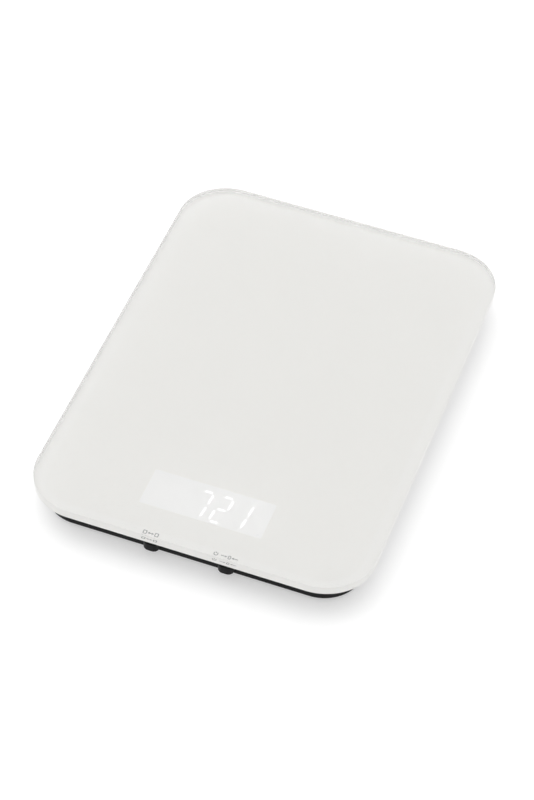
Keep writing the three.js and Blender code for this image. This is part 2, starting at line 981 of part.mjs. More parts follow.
// A bent strip that runs along the ceiling of the bay and slopes down onto the cell.
function leafContacts() {
  const top = bayCeiling - smallGap;
  const low = coinBottom + coinThickness + smallGap;
  const tip = leafFlat + leafSlope;
  const side = new THREE.Shape();
  side.moveTo(0, top);
  side.lineTo(0, top - leafThickness);
  side.lineTo(leafFlat, top - leafThickness);
  side.lineTo(tip, low);
  side.lineTo(tip, low + leafThickness);
  side.lineTo(leafFlat, top);
  side.closePath();
  // The side view lies in the y-z plane, so the extrusion is turned to run along x.
  const upright = new THREE.Matrix4().makeBasis(
    new THREE.Vector3(0, 1, 0),
    new THREE.Vector3(0, 0, 1),
    new THREE.Vector3(1, 0, 0),
  );
  return [-coinX, coinX].map((x, index) => {
    const strip = new THREE.ExtrudeGeometry(side, { depth: leafWidth, bevelEnabled: false });
    strip.applyMatrix4(upright);
    return piece(`leaf_contact_${index + 1}`, strip, brass, x - leafWidth / 2, bayY - tip, 0);
  });
}

function sideContacts() {
  const x = bayInnerWidth / 2 - clipThickness / 2 - smallGap;
  const height = coinThickness - coinLipDepth - 2 * coinEdge;
  return [-x, x].map((place, index) =>
    piece(
      `side_contact_${index + 1}`,
      block(clipThickness, clipLength, height),
      brass,
      place,
      bayY,
      coinBottom + coinEdge,
    ),
  );
}

function supplyLeads() {
  const level = supplyLeadLevel;
  const bayFront = bayY - bayInnerLength / 2 - bayWall;
  const boardEnd = boardTop + supplyLeadRadius + wireLift;
  return [
    ["negative", -1, 0x1c1c1e],
    ["positive", 1, 0xb02a26],
  ].map(([name, side, colour]) => {
    const route = [
      [side * supplyLeadX, bayFront + bayWall + supplyLeadEnd, level],
      [side * supplyLeadX, bayFront - bayWall, level],
      [side * supplyLeadX, 0, level],
      [side * supplyLeadX, boardBack + supplyLeadRise, level],
      [side * (supplyLeadX + supplyLeadShift), boardBack + supplyLeadJoint, boardEnd],
      [side * (supplyLeadX + supplyLeadShift), boardBack - supplyLeadJoint, boardEnd],
    ];
    return piece(`supply_lead_${name}`, wire(route, supplyLeadRadius, leadSteps), finish(colour, 0.6));
  });
}

// A flat lid with two tabs that hook over the floor, and a springy tongue with a small catch.
function batteryDoor() {
  const panel = block(doorWidth, doorLength, doorThickness);
  const hingeEdge = -doorLength / 2;
  const tabLength = doorTabReach + doorGap + bayWall / 2 + doorRiserDepth + doorGap;
  const tabBack = hingeEdge - doorTabReach - doorGap + tabLength;
  const tabZ = floorThickness + coinSeatGap;
  const tabs = doorTabPlaces().flatMap((x) => [
    block(doorTabWidth, tabLength, doorTabThickness).translate(x, tabBack - tabLength / 2, tabZ),
    block(doorTabWidth, doorRiserDepth, tabZ + doorTabThickness - doorThickness / 2).translate(
      x,
      tabBack - doorRiserDepth / 2,
      doorThickness / 2,
    ),
  ]);
  const latch = block(doorTongueWidth / 2, 2 * doorCatch, doorThickness / 2).translate(
    0,
    doorLength / 2,
    doorThickness / 4,
  );
  const slits = [-1, 1].map((side) =>
    block(doorSlitWidth, doorTongueLength, 3 * doorThickness).translate(
      (side * doorTongueWidth) / 2,
      doorLength / 2 - doorTongueLength / 2 + doorGap,
      -doorThickness,
    ),
  );
  return piece(
    "battery_door",
    shaped(panel, [...tabs, latch], slits),
    blackPlastic,
    0,
    bayY,
    footHeight,
  );
}

const platform = group(
  glassPlatter(),
  ...adhesivePads(),
  platterBracket(),
  platterSpacer(),
  ...platterScrews(),
);
const housing = group(lowerHousing(), upperCover(), ...caseScrews(), ...feet());
const weighing = group(
  loadCell(),
  gaugeSealant(),
  cellBaseSpacer(),
  ...cellScrews(),
  ...gaugeLeads(),
);
const electronics = group(circuitBoard(), ...boardScrews(), ...boardChips(), ...display());
const controls = group(
  ...buttonPlaces().flatMap(([name, x]) => [
    sideSwitch(name, x),
    switchPlunger(name, x),
    buttonCap(name, x),
  ]),
);
const power = group(
  ...coinCells(),
  ...leafContacts(),
  ...sideContacts(),
  ...supplyLeads(),
  batteryDoor(),
);

export default group(platform, housing, weighing, electronics, controls, power);
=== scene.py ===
import json
import math

import bmesh
import bpy
from mathutils import Matrix, Vector

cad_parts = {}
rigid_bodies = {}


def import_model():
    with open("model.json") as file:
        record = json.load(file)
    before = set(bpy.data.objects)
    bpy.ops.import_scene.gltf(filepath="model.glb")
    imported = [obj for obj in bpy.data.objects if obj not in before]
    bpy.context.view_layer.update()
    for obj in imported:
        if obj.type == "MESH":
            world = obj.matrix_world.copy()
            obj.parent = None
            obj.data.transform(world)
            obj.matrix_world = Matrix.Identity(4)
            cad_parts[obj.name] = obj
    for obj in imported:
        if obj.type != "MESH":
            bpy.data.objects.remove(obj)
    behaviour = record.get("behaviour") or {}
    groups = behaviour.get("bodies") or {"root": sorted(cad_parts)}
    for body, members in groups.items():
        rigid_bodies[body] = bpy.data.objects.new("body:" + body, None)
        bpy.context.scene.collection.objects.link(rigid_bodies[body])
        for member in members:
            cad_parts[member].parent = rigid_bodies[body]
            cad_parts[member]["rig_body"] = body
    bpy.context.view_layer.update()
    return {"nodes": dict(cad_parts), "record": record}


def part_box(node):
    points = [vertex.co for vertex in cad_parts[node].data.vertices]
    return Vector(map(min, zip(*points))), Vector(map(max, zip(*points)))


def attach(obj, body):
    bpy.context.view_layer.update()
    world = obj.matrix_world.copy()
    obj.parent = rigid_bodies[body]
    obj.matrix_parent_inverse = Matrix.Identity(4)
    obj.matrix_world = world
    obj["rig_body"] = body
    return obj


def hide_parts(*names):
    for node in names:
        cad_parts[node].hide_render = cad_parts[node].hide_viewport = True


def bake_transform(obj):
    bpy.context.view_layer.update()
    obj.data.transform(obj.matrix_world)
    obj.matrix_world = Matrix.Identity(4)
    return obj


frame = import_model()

cadNodes = frame["nodes"]
slots = {row["node"]: row["material_slot"] for row in frame["record"]["subparts"]}
mm = 0.001
touching = 1e-7    # points closer than this are one point
roundEnd = 0.49    # corner radius over width, for ends that are all but half circles


# small tools that every piece uses

def corners(node):
    low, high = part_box(node)
    return low, high, (low + high) / 2


def outlineFace(bm, width, length, radius, segments):
    # a flat rectangle with round corners, centred on the origin
    half = Vector((width / 2, length / 2, 0))
    places = [(-1, -1), (1, -1), (1, 1), (-1, 1)]
    verts = [bm.verts.new((x * half.x, y * half.y, 0)) for x, y in places]
    bm.faces.new(verts)
    if radius:
        bmesh.ops.bevel(bm, geom=verts, offset=radius, offset_type="OFFSET", segments=segments,
                        profile=0.5, affect="VERTICES", material=-1)


def raised(bm, thickness):
    # gives a flat shape its thickness, upwards
    lifted = bmesh.ops.extrude_face_region(bm, geom=bm.faces[:])
    top = [v for v in lifted["geom"] if isinstance(v, bmesh.types.BMVert)]
    bmesh.ops.translate(bm, vec=(0, 0, thickness), verts=top)
    bmesh.ops.recalc_face_normals(bm, faces=bm.faces)
    return bm


def plate(width, length, thickness, radius=0, segments=12, edge=0, edgeSegments=3):
    # a closed plate that stands on z = 0, with its upper and lower edges eased
    bm = bmesh.new()
    outlineFace(bm, width, length, radius, segments)
    raised(bm, thickness)
    if edge:
        rims = [e for e in bm.edges if abs(e.verts[0].co.z - e.verts[1].co.z) < 1e-9]
        bmesh.ops.bevel(bm, geom=rims, offset=edge, offset_type="OFFSET", segments=edgeSegments,
                        profile=0.5, affect="EDGES", clamp_overlap=True, material=-1)
    return bm


def quarter(radius, height, size, start, steps=4):
    # points (radius, height) of a quarter circle of this size, from the angle start in degrees
    angles = [math.radians(start + 90 * step / steps) for step in range(steps + 1)]
    return [(radius + size * math.cos(angle), height + size * math.sin(angle)) for angle in angles]


def spun(points, steps):
    # a solid turned about z from points (radius, height); a start off the axis leaves a round opening
    bm = bmesh.new()
    verts = [bm.verts.new((radius, 0, height)) for radius, height in points]
    edges = [bm.edges.new(pair) for pair in zip(verts, verts[1:])]
    bmesh.ops.spin(bm, geom=verts + edges, axis=(0, 0, 1), cent=(0, 0, 0), steps=steps,
                   angle=2 * math.pi, use_merge=True)
    bmesh.ops.remove_doubles(bm, verts=bm.verts, dist=touching)
    bmesh.ops.recalc_face_normals(bm, faces=bm.faces)
    return bm


def profiled(points, width):
    # an outline of points (x, z) drawn out along y, to both sides of y = 0
    bm = bmesh.new()
    face = bm.faces.new([bm.verts.new((x, -width / 2, z)) for x, z in points])
    drawn = bmesh.ops.extrude_face_region(bm, geom=[face])
    far = [v for v in drawn["geom"] if isinstance(v, bmesh.types.BMVert)]
    bmesh.ops.translate(bm, vec=(0, width, 0), verts=far)
    bmesh.ops.recalc_face_normals(bm, faces=bm.faces)
    return bm


def hoop(width, length, stroke, thickness, radius, segments=8):
    # a flat closed band with round corners, such as a drawn zero
    bm = bmesh.new()
    outlineFace(bm, width, length, radius, segments)
    inner = bm.faces[:]
    bmesh.ops.inset_region(bm, faces=inner, thickness=stroke, use_boundary=True, use_even_offset=True)
    bmesh.ops.delete(bm, geom=inner, context="FACES_ONLY")
    return raised(bm, thickness)


def arc(radius, stroke, thickness, start, sweep, steps):
    # a flat open ring, from the angle start through the angle sweep, in degrees
    bm = bmesh.new()
    ends = [bm.verts.new((radius + side * stroke / 2, 0, 0)) for side in (-1, 1)]
    edge = bm.edges.new(ends)
    bmesh.ops.rotate(bm, verts=ends, matrix=Matrix.Rotation(math.radians(start), 3, "Z"))
    bmesh.ops.spin(bm, geom=ends + [edge], axis=(0, 0, 1), cent=(0, 0, 0), steps=steps,
                   angle=math.radians(sweep))
    return raised(bm, thickness)


def arrowHead(size, thickness):
    # a flat triangle that points along +X
    bm = bmesh.new()
    bmesh.ops.create_circle(bm, cap_ends=True, segments=3, radius=size)
    bmesh.ops.rotate(bm, verts=bm.verts, matrix=Matrix.Rotation(-math.pi / 2, 3, "Z"))
    return raised(bm, thickness)


def merged(parts, finishNumber=None):
    # several bmeshes in one, all in the finish of this number if one is given
    whole = bmesh.new()
    for part in parts:
        if finishNumber is not None:
            for face in part.faces:
                face.material_index = finishNumber
        mesh = bpy.data.meshes.new("part")
        part.to_mesh(mesh)
        part.free()
        whole.from_mesh(mesh)
        bpy.data.meshes.remove(mesh)
    return whole


def turned(degrees, axis="Z"):
    return Matrix.Rotation(math.radians(degrees), 4, axis)


def moved(bm, x=0, y=0, z=0, turn=None):
    if turn:
        bmesh.ops.transform(bm, matrix=turn, verts=bm.verts)
    bmesh.ops.translate(bm, vec=(x, y, z), verts=bm.verts)
    return bm


def finished(name, bm, materials, body, replaces=(), sharpAngle=35):
    mesh = bpy.data.meshes.new(name)
    bm.to_mesh(mesh)
    bm.free()
    for material in materials:
        mesh.materials.append(material)
    mesh.shade_smooth()
    mesh.set_sharp_from_angle(angle=math.radians(sharpAngle))
    piece = bpy.data.objects.new(name, mesh)
    bpy.context.scene.collection.objects.link(piece)
    # wide flats stay flat beside eased corners
    evenNormals = piece.modifiers.new("evenNormals", "WEIGHTED_NORMAL")
    evenNormals.keep_sharp = True
    if replaces:
        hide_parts(*replaces)
    if body:
        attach(piece, body)
    return piece


def bodyOf(node):
    return cadNodes[node]["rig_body"]


def copied(node):
    # a CAD node's shape with its triangles joined into whole faces
    bm = bmesh.new()
    bm.from_mesh(cadNodes[node].data)
    bmesh.ops.remove_doubles(bm, verts=bm.verts, dist=touching)
    bmesh.ops.dissolve_limit(bm, angle_limit=math.radians(0.5), verts=bm.verts, edges=bm.edges)
    return bm


def eased(node, edge, segments=2, cornerAngle=40, shortest=0.0):
    # a copy of a CAD node with its corners rounded off
    bm = copied(node)
    sharp = [e for e in bm.edges if e.is_manifold and e.calc_length() > shortest
             and e.calc_face_angle() > math.radians(cornerAngle)]
    bmesh.ops.bevel(bm, geom=sharp, offset=edge, offset_type="OFFSET", segments=segments,
                    profile=0.5, affect="EDGES", clamp_overlap=True, material=-1)
    return bm


def standIn(node, bm, sharpAngle=35, rides=True):
    # a finer piece in a CAD node's place
    body = bodyOf(node) if rides else None
    return finished(node + "_fine", bm, [cadFinish(node)], body, [node], sharpAngle)


# effects that several finishes share

def newGroup(name, scaleLabel, scale, outputs):
    # an effect that takes a position and a scale, and puts out values
    tree = bpy.data.node_groups.new(name, "ShaderNodeTree")
    tree.interface.new_socket("Position", in_out="INPUT", socket_type="NodeSocketVector")
    scaleSocket = tree.interface.new_socket(scaleLabel, in_out="INPUT", socket_type="NodeSocketFloat")
    scaleSocket.default_value = scale
    for label in outputs:
        tree.interface.new_socket(label, in_out="OUTPUT", socket_type="NodeSocketFloat")
    return tree, tree.nodes.new("NodeGroupInput"), tree.nodes.new("NodeGroupOutput")


def fed(tree, socket, value):
    # gives a socket another node's output, or a plain number or colour
    if isinstance(value, bpy.types.NodeSocket):
        tree.links.new(value, socket)
    else:
        socket.default_value = value


def noise(tree, vector, scale, detail, roughness=0.5):
    node = tree.nodes.new("ShaderNodeTexNoise")
    node.inputs["Detail"].default_value = detail
    node.inputs["Roughness"].default_value = roughness
    fed(tree, node.inputs["Scale"], scale)
    tree.links.new(vector, node.inputs["Vector"])
    return node.outputs["Fac"]


def math2(tree, operation, first, second):
    node = tree.nodes.new("ShaderNodeMath")
    node.operation = operation
    for socket, value in zip(node.inputs, (first, second)):
        fed(tree, socket, value)
    return node.outputs["Value"]


def mapRange(tree, value, fromLow, fromHigh, toLow=0.0, toHigh=1.0, kind="LINEAR"):
    node = tree.nodes.new("ShaderNodeMapRange")
    node.interpolation_type = kind
    tree.links.new(value, node.inputs["Value"])
    for label, number in (("From Min", fromLow), ("From Max", fromHigh),
                          ("To Min", toLow), ("To Max", toHigh)):
        fed(tree, node.inputs[label], number)
    return node.outputs["Result"]


def stretched(tree, vector, scale):
    node = tree.nodes.new("ShaderNodeMapping")
    node.inputs["Scale"].default_value = scale
    tree.links.new(vector, node.inputs["Vector"])
    return node.outputs["Vector"]


def mouldedGrain():
    # spark-eroded mould texture: fine pits with a slow drift in how deep they are
    tree, given, out = newGroup("mouldedGrain", "Pits per Metre", 3000.0, ("Height", "Mask"))
    position, density = given.outputs["Position"], given.outputs["Pits per Metre"]
    fine = noise(tree, position, density, 3, 0.6)
    coarse = noise(tree, position, math2(tree, "MULTIPLY", density, 0.22), 2)
    height = math2(tree, "ADD", math2(tree, "MULTIPLY", fine, 0.7), math2(tree, "MULTIPLY", coarse, 0.3))
    drift = noise(tree, position, 35, 2)
    mask = math2(tree, "ADD", math2(tree, "MULTIPLY", fine, 0.5), math2(tree, "MULTIPLY", drift, 0.5))
    tree.links.new(height, out.inputs["Height"])
    tree.links.new(mapRange(tree, mask, 0.35, 0.65), out.inputs["Mask"])
    return tree


def handling():
    # slow patches where hands and cloths have touched the surface, and specks of dust
    tree, given, out = newGroup("handling", "Patches per Metre", 30.0, ("Patches", "Specks"))
    position = given.outputs["Position"]
    patches = noise(tree, position, given.outputs["Patches per Metre"], 4, 0.55)
    specks = tree.nodes.new("ShaderNodeTexVoronoi")
    specks.inputs["Scale"].default_value = 900
    tree.links.new(position, specks.inputs["Vector"])
    dots = mapRange(tree, specks.outputs["Distance"], 0.05, 0.12, 1.0, 0.0)
    sparse = mapRange(tree, noise(tree, position, 260, 1), 0.62, 0.7)
    tree.links.new(mapRange(tree, patches, 0.3, 0.7, 0.0, 1.0, "SMOOTHSTEP"), out.inputs["Patches"])
    tree.links.new(math2(tree, "MULTIPLY", dots, sparse), out.inputs["Specks"])
    return tree


def toolLines():
    # parallel lines of rolling, grinding or turning, along the stretched direction
    tree, given, out = newGroup("toolLines", "Lines per Metre", 2500.0, ("Height", "Mask"))
    along = stretched(tree, given.outputs["Position"], (1.0, 0.02, 1.0))
    lines = noise(tree, along, given.outputs["Lines per Metre"], 4, 0.65)
    drift = noise(tree, given.outputs["Position"], 60, 3)
    tree.links.new(lines, out.inputs["Height"])
    mask = math2(tree, "ADD", math2(tree, "MULTIPLY", lines, 0.6), math2(tree, "MULTIPLY", drift, 0.4))
    tree.links.new(mapRange(tree, mask, 0.35, 0.65), out.inputs["Mask"])
    return tree


effects = {"mouldedGrain": mouldedGrain(), "handling": handling(), "toolLines": toolLines()}


# finishes

def startMaterial(name):
    material = bpy.data.materials.new(name)
    material.use_nodes = True
    tree = material.node_tree
    shader = tree.nodes["Principled BSDF"]
    place = tree.nodes.new("ShaderNodeTexCoord").outputs["Object"]
    return material, tree, shader, place


def effect(tree, name, place, **values):
    node = tree.nodes.new("ShaderNodeGroup")
    node.node_tree = effects[name]
    tree.links.new(place, node.inputs["Position"])
    for label, value in values.items():
        node.inputs[label.replace("_", " ")].default_value = value
    return node


def colourMix(tree, factor, first, second):
    node = tree.nodes.new("ShaderNodeMix")
    node.data_type = "RGBA"
    tree.links.new(factor, node.inputs["Factor"])
    for socket, value in ((node.inputs[6], first), (node.inputs[7], second)):
        fed(tree, socket, (*value, 1.0) if isinstance(value, tuple) else value)
    return node.outputs[2]


def setSockets(shader, values):
    for label, value in values.items():
        shader.inputs[label].default_value = value


def dull(shader):
    # no shine of its own
    setSockets(shader, {"Roughness": 0.9, "Specular IOR Level": 0.0})


def bump(tree, shader, height, depth, strength):
    node = tree.nodes.new("ShaderNodeBump")
    node.inputs["Strength"].default_value = strength
    node.inputs["Distance"].default_value = depth
    tree.links.new(height, node.inputs["Height"])
    tree.links.new(node.outputs["Normal"], shader.inputs["Normal"])


def plastic(name, light, dark, roughness, pits=3000.0, depth=0.00002, coat=0.0, dust=None, shine=0.5):
    # moulded, cast or drawn plastic and rubber
    material, tree, shader, place = startMaterial(name)
    grain = effect(tree, "mouldedGrain", place, Pits_per_Metre=pits)
    touched = effect(tree, "handling", place, Patches_per_Metre=28.0)
    colour = colourMix(tree, grain.outputs["Mask"], dark, light)
    if dust:
        colour = colourMix(tree, touched.outputs["Specks"], colour, dust)
    tree.links.new(colour, shader.inputs["Base Color"])
    rough = mapRange(tree, touched.outputs["Patches"], 0, 1, roughness[0], roughness[1])
    tree.links.new(rough, shader.inputs["Roughness"])
    setSockets(shader, {"Coat Weight": coat, "Specular IOR Level": shine})
    bump(tree, shader, grain.outputs["Height"], depth, 0.6)
    return material


def insulation(name, light, dark):
    # the soft cover of a lead
    return plastic(name, light, dark, (0.38, 0.5), depth=0.000008)


def metal(name, light, dark, roughness, lines=2500.0, depth=0.000004):
    material, tree, shader, place = startMaterial(name)
    worked = effect(tree, "toolLines", place, Lines_per_Metre=lines)
    touched = effect(tree, "handling", place, Patches_per_Metre=45.0)
    shader.inputs["Metallic"].default_value = 1.0
    tree.links.new(colourMix(tree, touched.outputs["Patches"], dark, light), shader.inputs["Base Color"])
    rough = mapRange(tree, worked.outputs["Mask"], 0, 1, roughness[0], roughness[1])
    tree.links.new(rough, shader.inputs["Roughness"])
    bump(tree, shader, worked.outputs["Height"], depth, 0.5)
    return material


platformValues = {
    "cornerRadius": 22.8 * mm,
    "cornerSegments": 28,
    "arris": 0.1 * mm,
    "padGap": 0.02 * mm,
    "filmThickness": 0.02 * mm,
    "windowShift": (-0.5 * mm, 0.4 * mm),
    "windowWidth": 54.4 * mm,
    "windowLength": 20 * mm,
    "windowRadius": 0.5 * mm,
}
glassValues = {"ior": 1.5, "roughness": (0.02, 0.05), "waviness": 0.0000008}
groundValues = {"ior": 1.5, "roughness": (0.25, 0.35), "waviness": 0.000001}
printValues = {
    "body": (0.906, 0.901, 0.878),
    # painted light: the print is made lighter outside the base, where the floor's light shines up through the
    # glass
    "paintedLightBorder": (0.922, 0.918, 0.898),
    "paintedLightFade": 0.6 * mm,
    "cornerShare": 0.24,    # the base's corner radius over its half width
    "grainDepth": 0.048,
    "grainShare": 0.12,
}
windowValues = {
    "colour": (0.945, 0.945, 0.94),
    # glow: painted light, the colour of a faint glow that stands for the display's light behind the window
    "glow": (1.0, 0.99, 0.97),
    "paintedBacklightStrength": 0.02,
    "fade": 0.35 * mm,
    "grainDepth": 0.015,
}


def glassFinish(name, values):
    material, tree, shader, place = startMaterial(name)
    setSockets(shader, {"Base Color": (1.0, 1.0, 1.0, 1.0), "IOR": values["ior"], "Transmission Weight": 1.0})
    touched = effect(tree, "handling", place, Patches_per_Metre=22.0)
    low, high = values["roughness"]
    tree.links.new(mapRange(tree, touched.outputs["Patches"], 0, 1, low, high), shader.inputs["Roughness"])
    bump(tree, shader, noise(tree, place, 18, 1), values["waviness"], 1.0)
    return material


def footprintMask(tree, place, halfWidth, halfLength, radius, fade):
    # 0 over the base and 1 outside it, from the distance to its rounded outline
    apart = tree.nodes.new("ShaderNodeSeparateXYZ")
    tree.links.new(place, apart.inputs["Vector"])
    reach = []
    for axis, half in (("X", halfWidth), ("Y", halfLength)):
        away = math2(tree, "ABSOLUTE", apart.outputs[axis], 0)
        reach.append(math2(tree, "MAXIMUM", math2(tree, "SUBTRACT", away, half - radius), 0))
    squares = [math2(tree, "MULTIPLY", side, side) for side in reach]
    distance = math2(tree, "SQRT", math2(tree, "ADD", *squares), 0)
    return mapRange(tree, distance, radius - fade, radius + fade, 0.0, 1.0, "SMOOTHSTEP")


def printFinish(values):
    # screen print on the back of the glass, painted lighter where the base isn't behind it: painted light,
    # for the floor's light that shines up through the glass past the base
    material, tree, shader, place = startMaterial("whitePrint")
    base = corners("upper_cover")[1]
    # the mask marks where the painted light goes, outside the base
    mask = footprintMask(tree, place, base.x, base.y, base.x * values["cornerShare"], values["paintedLightFade"])
    colour = colourMix(tree, mask, values["body"], values["paintedLightBorder"])
    grain = effect(tree, "mouldedGrain", place, Pits_per_Metre=1500.0)
    darker = tuple(channel * (1 - values["grainDepth"]) for channel in values["body"])
    faint = mapRange(tree, grain.outputs["Mask"], 0, 1, 0.0, values["grainShare"])
    tree.links.new(colourMix(tree, faint, colour, darker), shader.inputs["Base Color"])
    dull(shader)
    return material


def windowFinish(values):
    # the thinner print over the display, which fades into the print around it, with a faint painted glow that
    # stands for the display's light shining through it
    material, tree, shader, place = startMaterial("windowPrint")
    grain = effect(tree, "mouldedGrain", place, Pits_per_Metre=1500.0)
    darker = tuple(channel * (1 - values["grainDepth"]) for channel in values["colour"])
    clear = colourMix(tree, grain.outputs["Mask"], darker, values["colour"])
    centred = tree.nodes.new("ShaderNodeMapping")
    middle = corners("display_face")[2]
    shiftX, shiftY = platformValues["windowShift"]
    centred.inputs["Location"].default_value = (-middle.x - shiftX, -middle.y - shiftY, 0)
    tree.links.new(place, centred.inputs["Vector"])
    fade = values["fade"]
    mask = footprintMask(tree, centred.outputs["Vector"], platformValues["windowWidth"] / 2 - fade,
                         platformValues["windowLength"] / 2 - fade, fade, fade)
    tree.links.new(colourMix(tree, mask, clear, printValues["body"]), shader.inputs["Base Color"])
    dull(shader)
    # painted glow: the window print itself gives off light, for the display's light from behind it
    glow = mapRange(tree, mask, 0, 1, 1.0, 0.0)
    tree.links.new(colourMix(tree, glow, (0.0, 0.0, 0.0), values["glow"]), shader.inputs["Emission Color"])
    shader.inputs["Emission Strength"].default_value = values["paintedBacklightStrength"]
    return material


def lightFinish(name, colour, strength):
    # lit diffuser over a light cell, a touch uneven
    material, tree, shader, place = startMaterial(name)
    uneven = noise(tree, place, 700, 2)
    dim = tuple(channel * 0.94 for channel in colour)
    tree.links.new(colourMix(tree, uneven, dim, colour), shader.inputs["Emission Color"])
    setSockets(shader, {"Base Color": (0.3, 0.3, 0.3, 1.0), "Specular IOR Level": 0.0,
                        "Emission Strength": strength, "Roughness": 0.5})
    return material


finishes = {
    "glass": glassFinish("platformGlass", glassValues),
    "groundGlass": glassFinish("groundGlass", groundValues),
    "print": printFinish(printValues),
    "window": windowFinish(windowValues),
    "lit": lightFinish("litSegment", (1.0, 1.0, 0.99), 0.95),
    "litDot": lightFinish("litDot", (0.98, 0.99, 1.0), 0.62),
    "sign": plastic("signInk", (0.4, 0.4, 0.4), (0.36, 0.36, 0.36), (0.7, 0.8), depth=0.000002, shine=0.0),
    "housing": plastic("housingPlastic", (0.0075, 0.0075, 0.008), (0.0045, 0.0045, 0.005), (0.45, 0.6),
                       dust=(0.04, 0.04, 0.038), shine=0.16),
    "button": plastic("buttonPlastic", (0.006, 0.006, 0.0065), (0.004, 0.004, 0.0045), (0.34, 0.46),
                      pits=6000.0, depth=0.000008, shine=0.14),
    "rubber": plastic("footRubber", (0.035, 0.035, 0.036), (0.025, 0.025, 0.026), (0.75, 0.9),
                      pits=2500.0, depth=0.00003, dust=(0.16, 0.155, 0.15)),
    "foam": plastic("padFoam", (0.78, 0.77, 0.73), (0.66, 0.65, 0.61), (0.85, 0.95),
                    pits=2200.0, depth=0.00012),
    "bracket": metal("bracketZinc", (0.62, 0.63, 0.65), (0.5, 0.51, 0.52), (0.28, 0.42)),
    "screw": metal("screwZinc", (0.6, 0.6, 0.6), (0.45, 0.45, 0.46), (0.24, 0.4), lines=5000.0),
    "cell": metal("cellAluminium", (0.8, 0.81, 0.82), (0.7, 0.71, 0.72), (0.3, 0.42),
                  lines=4200.0, depth=0.000008),
    "sealant": plastic("gaugeSealant", (0.86, 0.86, 0.84), (0.8, 0.8, 0.78), (0.4, 0.55),
                       pits=700.0, depth=0.00006),
    "leadRed": insulation("leadRed", (0.5, 0.03, 0.02), (0.4, 0.022, 0.016)),
    "leadBlack": insulation("leadBlack", (0.018, 0.018, 0.019), (0.012, 0.012, 0.013)),
    "leadWhite": insulation("leadWhite", (0.82, 0.82, 0.8), (0.74, 0.74, 0.72)),
    "leadGreen": insulation("leadGreen", (0.03, 0.24, 0.09), (0.02, 0.19, 0.07)),
    "board": plastic("boardMask", (0.016, 0.12, 0.045), (0.01, 0.09, 0.032), (0.2, 0.32), pits=1100.0,
                     depth=0.00001, coat=0.5),
    "chip": plastic("chipEpoxy", (0.024, 0.024, 0.025), (0.016, 0.016, 0.017), (0.5, 0.62),
                    pits=5000.0, depth=0.00001),
    "socket": plastic("socketNylon", (0.8, 0.76, 0.62), (0.74, 0.7, 0.56), (0.4, 0.5), depth=0.00001),
    "display": plastic("displayWhite", (0.88, 0.88, 0.87), (0.84, 0.84, 0.83), (0.45, 0.55), depth=0.00001),
    "displayFilm": plastic("displayFilm", (0.9, 0.9, 0.89), (0.87, 0.87, 0.86), (0.3, 0.4), depth=0.000005),
    "boardTrace": plastic("boardTrace", (0.03, 0.19, 0.07), (0.022, 0.15, 0.055), (0.18, 0.3), pits=1100.0,
                          depth=0.000006, coat=0.5),
    "solder": metal("solderTin", (0.74, 0.74, 0.73), (0.6, 0.6, 0.6), (0.2, 0.4), lines=900.0),
    "ceramic": plastic("ceramicPart", (0.46, 0.34, 0.22), (0.4, 0.29, 0.18), (0.45, 0.6),
                       pits=4000.0, depth=0.000006),
    "displayCell": plastic("displayCell", (0.82, 0.81, 0.74), (0.78, 0.77, 0.7), (0.4, 0.5), depth=0.000004),
    "coin": metal("coinSteel", (0.68, 0.68, 0.67), (0.58, 0.58, 0.58), (0.18, 0.32), lines=3500.0),
    "brass": metal("contactBrass", (0.72, 0.52, 0.22), (0.62, 0.43, 0.17), (0.2, 0.34)),
}
print("finishes ready:", len(finishes))


slotFinishes = {
    "platform_glass": "print", "housing_black": "housing", "button_black": "button",
    "foot_rubber": "rubber", "pad_foam": "foam", "bracket_steel": "bracket", "screw_steel": "screw",
    "cell_aluminium": "cell", "sealant_white": "sealant", "lead_red": "leadRed", "lead_black": "leadBlack",
    "lead_white": "leadWhite", "lead_green": "leadGreen", "board_green": "board", "chip_black": "chip",
    "socket_cream": "socket", "display_white": "display", "display_face": "displayFilm",
    "coin_steel": "coin", "contact_brass": "brass",
}


def cadFinish(node):
    # the finish that goes with a CAD node's material slot
    return finishes[slotFinishes[slots[node]]]


# platform: glass with its print

windowLayer = 0.2    # heights over the print, in film thicknesses
inkLayer = 1.4


def platformGlass(values):
    low, high, middle = corners("glass_platter")
    lift = values["padGap"]
    bm = plate(high.x - low.x, high.y - low.y, high.z - low.z - lift, values["cornerRadius"],
               values["cornerSegments"], values["arris"], 3)
    moved(bm, middle.x, middle.y, low.z + lift)
    for face in bm.faces:
        if face.normal.z < -0.99:
            face.material_index = 1
        elif 0.01 < abs(face.normal.z) < 0.99:    # the arrises are ground matt
            face.material_index = 2
    return finished("platform_glass", bm, [finishes["glass"], finishes["print"], finishes["groundGlass"]],
                    "platform", ["glass_platter"])


def displayWindow(values):
    display = corners("display_face")[2]
    bm = plate(values["windowWidth"], values["windowLength"], values["filmThickness"],
               values["windowRadius"], 8)
    shiftX, shiftY = values["windowShift"]
    moved(bm, display.x + shiftX, display.y + shiftY, inGlass(windowLayer))
    return finished("display_window", bm, [finishes["window"]], "platform")


segmentBars = {
    "top": (0, 1, 0), "middle": (0, 0, 0), "bottom": (0, -1, 0),
    "upperLeft": (-1, 0.5, 1), "upperRight": (1, 0.5, 1),
    "lowerLeft": (-1, -0.5, 1), "lowerRight": (1, -0.5, 1),
}
digitBars = {
    "1": ("upperRight", "lowerRight"),
    "2": ("top", "upperRight", "middle", "lowerLeft", "bottom"),
    "7": ("top", "upperRight", "lowerRight"),
    "8": tuple(segmentBars),
}
digitValues = {
    "reading": "721",
    "firstX": -2.9 * mm,
    "pitch": 8.87 * mm,
    "width": 4.9 * mm,
    "height": 14.5 * mm,
    "stroke": 1.0 * mm,
    "acrossLength": 3.45 * mm,
    "uprightLength": 5.15 * mm,
    "slant": 5.5,
    "centreY": -78.9 * mm,
    "dotX": 24.4 * mm,
    "dotY": -86.0 * mm,
    "dotSize": 1.5 * mm,
}


